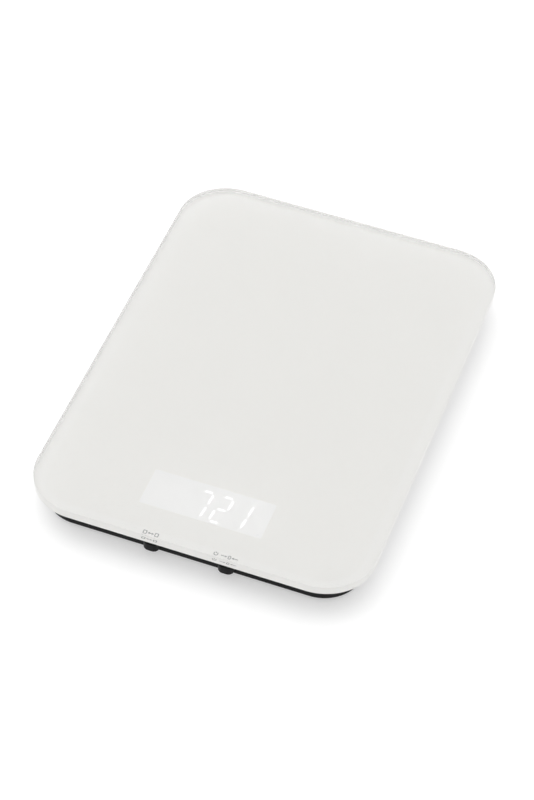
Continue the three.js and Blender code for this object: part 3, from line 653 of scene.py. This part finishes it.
def segmentDigit(digit, values, thickness):
    # one seven-segment digit about the origin, leaning to the right
    bars = []
    for bar in digitBars[digit]:
        across, up, upright = segmentBars[bar]
        length = values["uprightLength"] if upright else values["acrossLength"]
        shape = plate(length, values["stroke"], thickness, values["stroke"] * roundEnd, 5)
        turn = turned(90) if upright else None
        bars.append(moved(shape, across * values["width"] / 2, up * values["height"] / 2, 0, turn))
    glyph = merged(bars)
    lean = Matrix.Identity(4)
    lean[0][1] = math.tan(math.radians(values["slant"]))
    return moved(glyph, turn=lean)


def inGlass(layer):
    # the height of a thin layer that lies in the bottom of the glass, just over the print
    low = corners("glass_platter")[0]
    return low.z + platformValues["padGap"] + platformValues["filmThickness"] * layer


def litDigits(values):
    thickness = platformValues["filmThickness"]
    parts = []
    for place, digit in enumerate(values["reading"]):
        glyph = segmentDigit(digit, values, thickness)
        x = values["firstX"] + place * values["pitch"]
        parts.append(moved(glyph, x, values["centreY"], inGlass(inkLayer)))
    finished("lit_digits", merged(parts), [finishes["lit"]], "platform")
    dot = plate(values["dotSize"], values["dotSize"], thickness, values["dotSize"] * roundEnd, 6)
    moved(dot, values["dotX"], values["dotY"], inGlass(inkLayer))
    return finished("lit_dot", dot, [finishes["litDot"]], "platform")


signValues = {
    "fromFront": 3.5 * mm,
    "stroke": 0.36 * mm,
    "height": 2.0 * mm,
    "headSize": 0.62 * mm,
    "unitWidth": 6.8 * mm,
    "unitFrameWidth": 1.7 * mm,
    "ringRadius": 0.82 * mm,
    "ringOffset": -4.3 * mm,
    "ringStart": 125,
    "ringSweep": 290,
    "ringSteps": 28,
    "zeroWidth": 1.3 * mm,
    "zeroOffset": 1.6 * mm,
    "arrowReach": 2.8 * mm,
}


def drawnArrow(tip, length, direction, y, values):
    # an arrow that ends at x = tip and points along direction, 1 or -1
    thickness = platformValues["filmThickness"]
    size = values["headSize"]
    head = moved(arrowHead(size, thickness), turn=turned(0 if direction > 0 else 180))
    shaftLength = length - size * 1.3
    shaft = plate(shaftLength, values["stroke"], thickness, values["stroke"] * 0.3, 3)
    shaftX = tip - direction * (length - shaftLength / 2)
    return [moved(head, tip - direction * size, y), moved(shaft, shaftX, y)]


def unitSign(values):
    # two frames with an arrow that points at each, for changing the unit
    thickness = platformValues["filmThickness"]
    frameWidth = values["unitFrameWidth"]
    half = values["unitWidth"] / 2
    inner = half - frameWidth - values["stroke"] * 0.8
    parts = drawnArrow(inner, inner, 1, 0, values) + drawnArrow(-inner, inner, -1, 0, values)
    for side in (-1, 1):
        frameShape = hoop(frameWidth, values["height"], values["stroke"], thickness, frameWidth * 0.2)
        parts.append(moved(frameShape, side * (half - frameWidth / 2)))
    return merged(parts)


def tareSign(values):
    # an on sign, and two arrows that push back to zero
    thickness = platformValues["filmThickness"]
    stroke, radius = values["stroke"], values["ringRadius"]
    zeroX, zeroWidth = values["zeroOffset"], values["zeroWidth"]
    reach, gap = values["arrowReach"], zeroWidth / 2 + stroke * 0.8
    ring = arc(radius, stroke, thickness, values["ringStart"], values["ringSweep"], values["ringSteps"])
    stem = plate(stroke, radius, thickness, stroke * 0.3, 3)
    zero = hoop(zeroWidth, values["height"], stroke, thickness, zeroWidth * 0.48)
    ringX = values["ringOffset"]
    parts = [moved(ring, ringX), moved(stem, ringX, radius * 0.75), moved(zero, zeroX)]
    parts += drawnArrow(zeroX - gap, reach, 1, 0, values) + drawnArrow(zeroX + gap, reach, -1, 0, values)
    return merged(parts)


def buttonSigns(values):
    # plain signs in the print over the two buttons
    frontY = corners("glass_platter")[0].y + values["fromFront"]
    signs = [moved(sign, corners(node)[2].x, frontY, inGlass(inkLayer))
             for node, sign in (("unit_button", unitSign(values)), ("tare_button", tareSign(values)))]
    return finished("button_signs", merged(signs), [finishes["sign"]], "platform")


platformGlass(platformValues)
displayWindow(platformValues)
litDigits(digitValues)
buttonSigns(signValues)
print("platform ready")


# base: shells, door, buttons and feet

easingValues = {
    "lower_housing": 0.12 * mm, "upper_cover": 0.12 * mm, "battery_door": 0.12 * mm,
    "platter_bracket": 0.12 * mm, "platter_spacer": 0.08 * mm, "cell_base_spacer": 0.08 * mm,
    "adhesive_pad": 0.1 * mm, "circuit_board": 0.06 * mm, "controller_chip": 0.1 * mm,
    "display_driver": 0.1 * mm, "lead_socket": 0.15 * mm, "display_block": 0.2 * mm,
    "display_face": 0.05 * mm, "unit_switch": 0.12 * mm, "tare_switch": 0.12 * mm,
    "leaf_contact": 0.05 * mm, "side_contact": 0.05 * mm,
}
shellShortest = 1.2 * mm    # shorter edges of the two shells stay as they are
doorValues = {
    "ridges": 6, "ridgePitch": 1.4 * mm, "ridgeWidth": 0.65 * mm, "ridgeLength": 15 * mm,
    "ridgeHeight": 0.3 * mm, "ridgesFromBack": 6.6 * mm, "arrowSize": 1.7 * mm, "arrowGap": 3.4 * mm,
}
buttonValues = {"edge": 0.35 * mm, "segments": 3}
footValues = {"steps": 72, "ridges": 3, "ridgeSlope": 0.12 * mm, "grooveDepth": 0.35 * mm, "edge": 0.4 * mm}


def easing(node):
    return next(edge for start, edge in easingValues.items() if node.startswith(start))


def batteryDoor(node, values):
    # the door with its grip ridges and the arrow that shows where to lift it
    low, high, middle = corners(node)
    under = low.z - values["ridgeHeight"]
    height = values["ridgeHeight"] + easing(node)
    parts = [eased(node, easing(node))]
    backY = high.y - values["ridgesFromBack"]
    for ridge in range(values["ridges"]):
        shape = plate(values["ridgeLength"], values["ridgeWidth"], height, values["ridgeWidth"] * roundEnd, 5,
                      values["ridgeWidth"] * 0.2, 2)
        parts.append(moved(shape, middle.x, backY - ridge * values["ridgePitch"], under))
    arrow = moved(arrowHead(values["arrowSize"], height), turn=turned(90))
    arrowY = backY - (values["ridges"] - 1) * values["ridgePitch"] - values["arrowGap"]
    parts.append(moved(arrow, middle.x, arrowY, under))
    return standIn(node, merged(parts))


def rubberFoot(node, values):
    # a round pad with grip rings under it
    low, high, middle = corners(node)
    radius, height = (high.y - low.y) / 2, high.z - low.z
    depth, slope = values["grooveDepth"], values["ridgeSlope"]
    pitch = (radius - values["edge"]) / (2 * values["ridges"])
    points = [(0, depth)]
    for ridge in range(values["ridges"]):
        start = pitch * (2 * ridge + 1)
        points += [(start, depth), (start + slope, 0)]
        if ridge < values["ridges"] - 1:
            points += [(start + pitch - slope, 0), (start + pitch, depth)]
    points += quarter(radius - values["edge"], values["edge"], values["edge"], -90)
    points += [(radius, height), (0, height)]
    return standIn(node, moved(spun(points, values["steps"]), middle.x, middle.y, low.z))


for nodeName in ("lower_housing", "upper_cover"):
    standIn(nodeName, eased(nodeName, easing(nodeName), shortest=shellShortest))
batteryDoor("battery_door", doorValues)
for nodeName in ("unit_button", "tare_button"):
    standIn(nodeName, eased(nodeName, buttonValues["edge"], buttonValues["segments"]))
for nodeName in [name for name in cadNodes if name.startswith("foot_")]:
    rubberFoot(nodeName, footValues)
print("base ready")


# screws: a domed or sunk head with a cross recess, and a threaded shank

screwValues = {
    "steps": 36, "crossReach": 0.6, "crossWidth": 0.26, "crossTaper": 0.72, "crossDepth": 0.62,
    "rimReach": 0.7, "crown": 0.12, "corner": 0.1 * mm,
    "threadPitch": 0.5 * mm, "threadDepth": 0.14 * mm, "tip": 0.5 * mm,
    "kinds": {
        "case_screw": {"headHeight": 1.4 * mm, "shankRadius": 1.1 * mm, "sunk": False, "headUp": False},
        "board_screw": {"headHeight": 1.4 * mm, "shankRadius": 1.1 * mm, "sunk": False, "headUp": True},
        "cell_screw": {"headHeight": 1.65 * mm, "shankRadius": 1.5 * mm, "sunk": True, "headUp": False},
        "platter_screw": {"headHeight": 1.65 * mm, "shankRadius": 1.5 * mm, "sunk": True, "headUp": True},
    },
}


def crossRecess(bm, radius, depth, values):
    # a tapered cross sunk into the top of a head whose open rim lies at z = 0
    reach, width = values["crossReach"] * radius, values["crossWidth"] * radius
    middle = bmesh.ops.create_grid(bm, x_segments=1, y_segments=1, size=width / 2)["verts"]
    square = middle[0].link_faces[0]
    faces = [square]
    for edge in list(square.edges):
        outward = (edge.verts[0].co + edge.verts[1].co).normalized() * (reach - width / 2)
        arm = bmesh.ops.extrude_edge_only(bm, edges=[edge])["geom"]
        bmesh.ops.translate(bm, vec=outward, verts=[v for v in arm if isinstance(v, bmesh.types.BMVert)])
        faces += [f for f in arm if isinstance(f, bmesh.types.BMFace)]
    cross = bmesh.ops.dissolve_faces(bm, faces=faces)["region"]
    bmesh.ops.subdivide_edges(bm, edges=list(cross[0].edges), cuts=2)
    floor = bmesh.ops.extrude_discrete_faces(bm, faces=cross)["faces"][0]
    bmesh.ops.translate(bm, vec=(0, 0, depth), verts=floor.verts)
    taper = values["crossTaper"]
    bmesh.ops.scale(bm, vec=(taper, taper, 1), verts=floor.verts)
    bmesh.ops.bridge_loops(bm, edges=[e for e in bm.edges if e.is_boundary])


def crossScrew(node, values):
    low, high, middle = corners(node)
    kind = next(kind for start, kind in values["kinds"].items() if node.startswith(start))
    radius, length = (high.y - low.y) / 2, high.z - low.z
    headHeight, shank = kind["headHeight"], kind["shankRadius"]
    rim, corner = values["rimReach"] * radius, values["corner"]
    if kind["sunk"]:
        points = [(rim, 0), (radius - corner, 0), (radius - corner * 0.3, corner * 0.4)]
    else:
        crown, edge = values["crown"] * radius, headHeight * 0.35
        points = [(rim, 0), (radius - edge, crown * 0.5)]
        points += quarter(radius - edge, edge + crown * 0.5, edge, -90)[1:]
        points += [(radius, headHeight - corner), (radius - corner, headHeight)]
    points.append((shank, headHeight))
    turns = int((length - headHeight - values["tip"]) / values["threadPitch"])
    for turn in range(turns):
        level = headHeight + turn * values["threadPitch"]
        points += [(shank - values["threadDepth"], level + values["threadPitch"] * 0.45),
                   (shank, level + values["threadPitch"])]
    points += [(shank * 0.55, length), (0, length)]
    bm = spun(points, values["steps"])
    crossRecess(bm, radius, headHeight * values["crossDepth"], values)
    bmesh.ops.recalc_face_normals(bm, faces=bm.faces)
    if kind["headUp"]:
        moved(bm, turn=turned(180, "X"))
        moved(bm, middle.x, middle.y, high.z)
    else:
        moved(bm, middle.x, middle.y, low.z)
    return standIn(node, bm, sharpAngle=40)


for nodeName in [name for name in cadNodes if "_screw" in name]:
    crossScrew(nodeName, screwValues)
print("screws ready")


# weighing: the bending cell and what it joins

cellValues = {"edge": 0.15 * mm, "sealantEdge": 0.25 * mm, "bendLength": 20 * mm, "cuts": 12}


def bending(node, edge, values, segments=2):
    # a piece cut across in slices over the middle of the cell, where the real cell bends; it is left on no
    # body
    bm = eased(node, edge, segments)
    half = values["bendLength"] / 2
    for cut in range(values["cuts"] + 1):
        y = -half + values["bendLength"] * cut / values["cuts"]
        bmesh.ops.bisect_plane(bm, geom=bm.verts[:] + bm.edges[:] + bm.faces[:], dist=touching,
                               plane_co=(0, y, 0), plane_no=(0, 1, 0))
    piece = standIn(node, bm, rides=False)
    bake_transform(piece)
    return piece


bending("load_cell", cellValues["edge"], cellValues)
bending("gauge_sealant", cellValues["sealantEdge"], cellValues, 3)
for nodeName in cadNodes:
    if nodeName.startswith(("adhesive_pad", "platter_bracket", "platter_spacer", "cell_base_spacer")):
        standIn(nodeName, eased(nodeName, easing(nodeName)))
print("weighing ready")


# electronics: board, chips, display and switches

boardValues = {
    "traceHeight": 0.03 * mm, "traceWidth": 0.28 * mm, "tracePitch": 0.8 * mm, "traceTuck": 0.6 * mm,
    "longTraces": 3, "longTraceGap": 1.2 * mm, "longTraceShare": 0.72, "longTraceStep": 0.08,
    "legWidth": 0.32 * mm, "legPitch": 0.8 * mm, "legReach": 0.9 * mm, "legThickness": 0.14 * mm,
    "legTuck": 0.2 * mm, "chipMargin": 0.9 * mm,
    "jointRadius": 0.55 * mm, "jointHeight": 0.35 * mm, "jointPitch": 3.4 * mm, "jointsAcross": 14,
    "jointGap": 0.9 * mm, "jointSteps": 14, "socketPins": 4, "socketPitch": 1.25 * mm,
    "switchPinReach": 2.2 * mm,
    "partSize": (1.6 * mm, 0.8 * mm, 0.45 * mm), "partPitch": 2.6 * mm, "partsByChip": 4,
    "partGap": 1.8 * mm, "partRowPitch": 1.7 * mm,
}


def legRows(node, values):
    # the places along y of a chip's legs
    low, high, middle = corners(node)
    count = int((high.y - low.y - 2 * values["chipMargin"]) / values["legPitch"]) + 1
    return [middle.y + (row - (count - 1) / 2) * values["legPitch"] for row in range(count)]


def chipLegs(node, values):
    # gull-wing legs along both sides of a chip
    low, high = corners(node)[:2]
    top, reach, thin = (high.z - low.z) * 0.55, values["legReach"], values["legThickness"]
    tuck = values["legTuck"]
    outline = [(-tuck, top), (reach * 0.3, top), (reach * 0.55, thin), (reach, thin), (reach, 0),
               (reach * 0.45, 0), (reach * 0.2, top - thin), (-tuck, top - thin)]
    legs = []
    for y in legRows(node, values):
        for side in (-1, 1):
            leg = moved(profiled(outline, values["legWidth"]), turn=turned(0 if side > 0 else 180))
            legs.append(moved(leg, high.x if side > 0 else low.x, y, low.z))
    finished(node + "_legs", merged(legs), [finishes["solder"]], bodyOf(node))


def boardTraces(values):
    # copper runs under the mask, from both chips to the display and along behind it
    boardTop = corners("circuit_board")[1].z
    display = corners("display_block")
    width, height = values["traceWidth"], values["traceHeight"]
    runs = []
    for node in ("controller_chip", "display_driver"):
        low, high, middle = corners(node)
        side = 1 if middle.x > 0 else -1
        edgeX = display[1].x if side > 0 else display[0].x
        chipX = low.x if side > 0 else high.x
        length = abs(chipX - edgeX) + values["traceTuck"]
        runs += [moved(plate(length, width, height), (chipX + edgeX) / 2, y, boardTop)
                 for y in legRows(node, values)]
    board = corners("circuit_board")
    for row in range(values["longTraces"]):
        y = display[1].y + values["longTraceGap"] + row * values["tracePitch"]
        share = values["longTraceShare"] - values["longTraceStep"] * row
        shape = plate((board[1].x - board[0].x) * share, width, height, width * roundEnd, 3)
        runs.append(moved(shape, 0, y, boardTop))
    finished("board_traces", merged(runs), [finishes["boardTrace"]], bodyOf("circuit_board"))


def solderJoints(values):
    # domes of solder by the display, the lead socket and the switches
    boardTop = corners("circuit_board")[1].z
    gap = values["jointGap"]
    spots = []
    for node, count, pitch in (("display_block", values["jointsAcross"], values["jointPitch"]),
                               ("lead_socket", values["socketPins"], values["socketPitch"])):
        low, high, middle = corners(node)
        spots += [(middle.x + (place - (count - 1) / 2) * pitch, low.y - gap) for place in range(count)]
    for node in ("unit_switch", "tare_switch"):
        high, middle = corners(node)[1:]
        spots += [(middle.x + side * values["switchPinReach"], high.y + gap) for side in (-1, 1)]
    radius, height = values["jointRadius"], values["jointHeight"]
    points = [(0, 0), (radius, 0), (radius * 0.72, height * 0.4), (radius * 0.4, height * 0.85), (0, height)]
    domes = [moved(spun(points, values["jointSteps"]), x, y, boardTop) for x, y in spots]
    finished("solder_joints", merged(domes), [finishes["solder"]], bodyOf("circuit_board"))


def smallParts(values):
    # two short rows of small parts behind each chip, with tinned ends
    boardTop = corners("circuit_board")[1].z
    length, width, height = values["partSize"]
    edge = height * 0.15
    bodies, ends = [], []
    for node in ("controller_chip", "display_driver"):
        high, middle = corners(node)[1:]
        for place in range(values["partsByChip"]):
            x = middle.x + (0.5 if place % 2 else -0.5) * values["partPitch"]
            y = high.y + values["partGap"] + (place // 2) * values["partRowPitch"]
            body = plate(length * 0.7, width, height, edge=edge, edgeSegments=2)
            bodies.append(moved(body, x, y, boardTop))
            for side in (-1, 1):
                cap = plate(length * 0.2, width * 1.04, height * 1.06, edge=edge, edgeSegments=2)
                ends.append(moved(cap, x + side * length * 0.43, y, boardTop))
    whole = merged([merged(bodies, 0), merged(ends, 1)])
    finished("small_parts", whole, [finishes["ceramic"], finishes["solder"]],
             bodyOf("circuit_board"))


def displayCells(values):
    # the unlit cells of five digits, on the film that covers the display
    top = corners("display_face")[1].z
    glyphs = []
    for place in range(-2, 3):
        glyph = segmentDigit("8", values, boardValues["traceHeight"])
        glyphs.append(moved(glyph, values["firstX"] + place * values["pitch"], values["centreY"], top))
    finished("display_cells", merged(glyphs), [finishes["displayCell"]],
             bodyOf("display_face"))


for nodeName in ("circuit_board", "controller_chip", "display_driver", "lead_socket", "display_block",
                 "display_face", "unit_switch", "tare_switch", "unit_switch_plunger", "tare_switch_plunger"):
    standIn(nodeName, eased(nodeName, easing(nodeName)))
for nodeName in ("controller_chip", "display_driver"):
    chipLegs(nodeName, boardValues)
boardTraces(boardValues)
solderJoints(boardValues)
smallParts(boardValues)
displayCells(digitValues)
print("electronics ready")


# power and wires

coinValues = {
    "steps": 72, "edge": 0.45 * mm, "lipWidth": 0.8 * mm, "lipDepth": 0.4 * mm,
    "sealDepth": 0.18 * mm, "ring": 0.06 * mm,
}


def coinCell(node, values):
    # a rolled can, the ring of its seal, and the cap set in it
    low, high, middle = corners(node)
    radius, height = (high.y - low.y) / 2, high.z - low.z
    edge, lip, seal, ring = values["edge"], values["lipWidth"], values["sealDepth"], values["ring"]
    shoulder = height - values["lipDepth"]
    capRadius = radius - lip
    points = [(0, ring), (radius * 0.55, ring), (radius * 0.57, 0)]
    points += quarter(radius - edge, edge, edge, -90)
    points += quarter(radius - edge * 0.7, shoulder - edge * 0.7, edge * 0.7, 0)
    points += [(capRadius + lip * 0.3, shoulder), (capRadius + lip * 0.25, shoulder - seal),
               (capRadius, shoulder - seal)]
    points += quarter(capRadius - edge * 0.5, height - edge * 0.5, edge * 0.5, 0)
    points += [(capRadius * 0.8, height), (capRadius * 0.78, height - ring), (0, height - ring)]
    return standIn(node, moved(spun(points, values["steps"]), middle.x, middle.y, low.z))


def wire(node):
    # a copy of a lead, smoothed along its length with its cut ends kept square
    bm = copied(node)
    crease = bm.edges.layers.float.new("crease_edge")
    for edge in bm.edges:
        if edge.is_manifold and edge.calc_face_angle() > math.radians(60):
            edge[crease] = 1.0
    piece = standIn(node, bm, sharpAngle=60)
    smooth = piece.modifiers.new("smooth", "SUBSURF")
    smooth.levels = smooth.render_levels = 1
    piece.modifiers.move(1, 0)    # smoothed first, then its normals
    return piece


for nodeName in cadNodes:
    if nodeName.startswith("coin_cell"):
        coinCell(nodeName, coinValues)
    elif nodeName.startswith(("leaf_contact", "side_contact")):
        standIn(nodeName, eased(nodeName, easing(nodeName)))
    elif "_lead_" in nodeName:
        wire(nodeName)
print("power and wires ready")


# stage: floor, light and camera

stageValues = {
    "floorSize": 6.0,
    "floorDrop": 0.02 * mm,
    "floorColour": (0.62, 0.62, 0.62),
    "floorGlow": 0.42,
    "sky": 0.74,
    "keyDirection": (-0.42, 0.62, 0.66),
    "keyStrength": 1.5,
    "keySpread": (0.3, 1.0),
}


def makeFloor(values):
    # a light table: its own even glow keeps the shadows pale, and its back is clear
    bm = bmesh.new()
    outlineFace(bm, values["floorSize"], values["floorSize"], 0, 1)
    moved(bm, z=-values["floorDrop"])
    mesh = bpy.data.meshes.new("floor")
    bm.to_mesh(mesh)
    bm.free()
    material, tree, shader, place = startMaterial("floorPaper")
    faint = noise(tree, place, 40, 2)
    edge = tuple(channel * 0.995 for channel in values["floorColour"])
    tree.links.new(colourMix(tree, faint, edge, values["floorColour"]), shader.inputs["Base Color"])
    dull(shader)
    setSockets(shader, {"Emission Color": (1.0, 1.0, 1.0, 1.0), "Emission Strength": values["floorGlow"]})
    side = tree.nodes.new("ShaderNodeMixShader")
    tree.links.new(tree.nodes.new("ShaderNodeNewGeometry").outputs["Backfacing"], side.inputs["Fac"])
    tree.links.new(shader.outputs["BSDF"], side.inputs[1])
    tree.links.new(tree.nodes.new("ShaderNodeBsdfTransparent").outputs["BSDF"], side.inputs[2])
    tree.links.new(side.outputs["Shader"], tree.nodes["Material Output"].inputs["Surface"])
    mesh.materials.append(material)
    floor = bpy.data.objects.new("floor", mesh)
    bpy.context.scene.collection.objects.link(floor)


def makeLight(values):
    # an even white sky with one broad soft glow, high behind the left shoulder of the object
    world = bpy.data.worlds.new("studio")
    world.use_nodes = True
    tree = world.node_tree
    background = tree.nodes["Background"]
    background.inputs["Color"].default_value = (1.0, 1.0, 1.0, 1.0)
    toward = tree.nodes.new("ShaderNodeVectorMath")
    toward.operation = "DOT_PRODUCT"
    tree.links.new(tree.nodes.new("ShaderNodeTexCoord").outputs["Generated"], toward.inputs[0])
    toward.inputs[1].default_value = Vector(values["keyDirection"]).normalized()
    low, high = values["keySpread"]
    sky = values["sky"]
    glow = mapRange(tree, toward.outputs["Value"], low, high, sky, sky + values["keyStrength"], "SMOOTHSTEP")
    backdrop = tree.nodes.new("ShaderNodeMix")    # what the eye sees past the floor is plain white
    tree.links.new(tree.nodes.new("ShaderNodeLightPath").outputs["Is Camera Ray"], backdrop.inputs["Factor"])
    tree.links.new(glow, backdrop.inputs["A"])
    backdrop.inputs["B"].default_value = 1.0
    tree.links.new(backdrop.outputs["Result"], background.inputs["Strength"])
    bpy.context.scene.world = world


cameraValues = {
    "azimuth": 17.63, "elevation": 46.98, "roll": 3.26,
    "distance": 1.140, "aim": (0.0028, -0.0154, 0.016),
    "lens": 119.76, "sensorWidth": 36,
}


def makeCamera(values):
    azimuth = math.radians(values["azimuth"])
    elevation = math.radians(values["elevation"])
    roll = math.radians(values["roll"])
    back = Vector((math.sin(azimuth) * math.cos(elevation),
                   -math.cos(azimuth) * math.cos(elevation), math.sin(elevation)))
    right = Vector((math.cos(azimuth), math.sin(azimuth), 0))
    up = back.cross(right)
    rolledRight = right * math.cos(roll) + up * math.sin(roll)
    rolledUp = up * math.cos(roll) - right * math.sin(roll)
    turn = Matrix((rolledRight, rolledUp, back)).transposed().to_4x4()
    data = bpy.data.cameras.new("camera")
    data.lens = values["lens"]
    data.sensor_width = values["sensorWidth"]
    camera = bpy.data.objects.new("camera", data)
    camera.matrix_world = Matrix.Translation(Vector(values["aim"]) + back * values["distance"]) @ turn
    bpy.context.scene.collection.objects.link(camera)
    bpy.context.scene.camera = camera


makeFloor(stageValues)
makeLight(stageValues)
makeCamera(cameraValues)
bpy.context.scene.view_settings.view_transform = "Standard"
print("stage ready")
